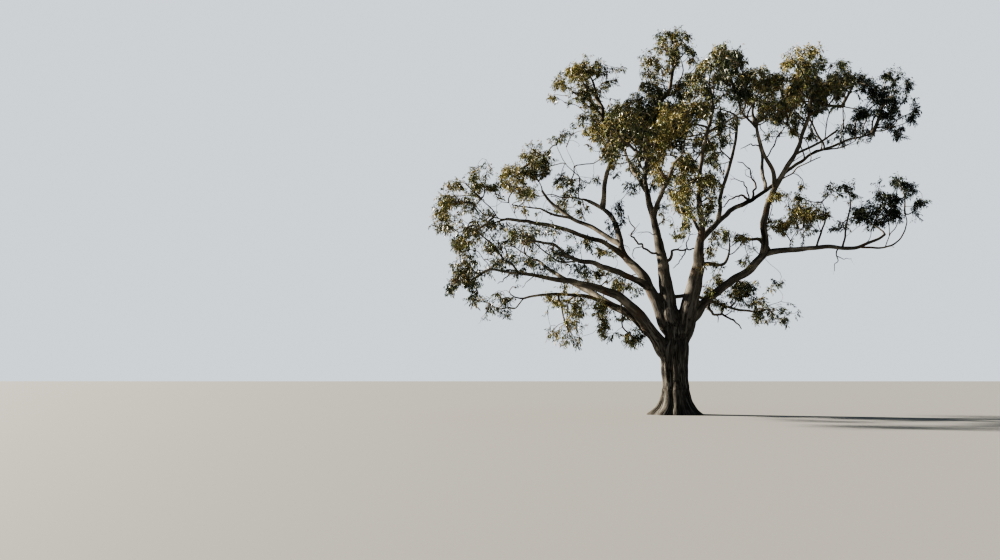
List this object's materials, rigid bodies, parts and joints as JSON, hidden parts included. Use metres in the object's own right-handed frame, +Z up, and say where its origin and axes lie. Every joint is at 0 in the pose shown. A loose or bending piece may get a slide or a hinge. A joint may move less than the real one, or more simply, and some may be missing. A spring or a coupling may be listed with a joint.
{
  "type": "eucalyptus gum tree",
  "caption": "Large old open-grown gum tree: flared trunk that forks low, spreading boughs and separate clumps of hanging leaves.",
  "frame": {"origin": "middle of the flat cut under the trunk, at ground level (mount ground)", "axes": "+Z up the trunk, +X along the crown's widest spread towards the long right-hand boughs, -Y towards the front, from which the tree was seen"},
  "size_m": [23.7, 16.1, 18.35],
  "materials": {
    "trunk_bark": "rough, dark grey-brown, fissured along the trunk",
    "limb_bark": "weathered grey-brown to pale tan, patchy",
    "golden_leaves": "leathery, golden olive, half matt",
    "olive_leaves": "leathery, olive green, half matt",
    "dark_leaves": "leathery, dark green, half matt"
  },
  "bodies": {
    "root": {"trunk": "trunk_bark", "middle_stem": "limb_bark", "right_stem": "limb_bark", "left_bough": "limb_bark", "left_under_bough": "limb_bark", "left_droop_bough": "limb_bark", "left_stem": "limb_bark", "left_front_bough": "limb_bark", "left_upper_bough": "limb_bark", "left_high_bough": "limb_bark", "left_riser": "limb_bark", "right_bough": "limb_bark", "right_riser": "limb_bark", "right_arm": "limb_bark", "cross_bough": "limb_bark", "inner_riser": "limb_bark", "crown_riser": "limb_bark", "middle_front_riser": "limb_bark", "middle_side_riser": "limb_bark", "low_right_bough": "limb_bark", "short_arm": "limb_bark", "rear_left_bough": "limb_bark", "rear_middle_bough": "limb_bark", "rear_right_bough": "limb_bark", "left_tip": "golden_leaves", "left_tip_low": "olive_leaves", "left_droop": "olive_leaves", "left_shoulder": "golden_leaves", "left_shoulder_inner": "olive_leaves", "left_small_top": "olive_leaves", "left_middle_top": "golden_leaves", "left_front": "olive_leaves", "left_rear": "dark_leaves", "hanging_left": "golden_leaves", "under_left": "olive_leaves", "inner_left": "olive_leaves", "top_left": "golden_leaves", "top_left_low": "golden_leaves", "top_peak": "golden_leaves", "top_middle": "dark_leaves", "top_middle_front": "golden_leaves", "top_right_peak": "olive_leaves", "top_right_mid": "golden_leaves", "right_peak": "golden_leaves", "right_shoulder": "dark_leaves", "right_tip_high": "dark_leaves", "right_inner_top": "olive_leaves", "centre_right": "olive_leaves", "centre_clump": "golden_leaves", "right_low_top": "golden_leaves", "right_low_middle": "olive_leaves", "right_tip_low": "dark_leaves", "right_fork": "olive_leaves", "low_right": "olive_leaves", "low_right_tip": "olive_leaves", "rear_left": "olive_leaves", "rear_right": "dark_leaves", "rear_middle": "olive_leaves", "rear_low": "dark_leaves", "front_left": "golden_leaves"}
  },
  "joints": []
}
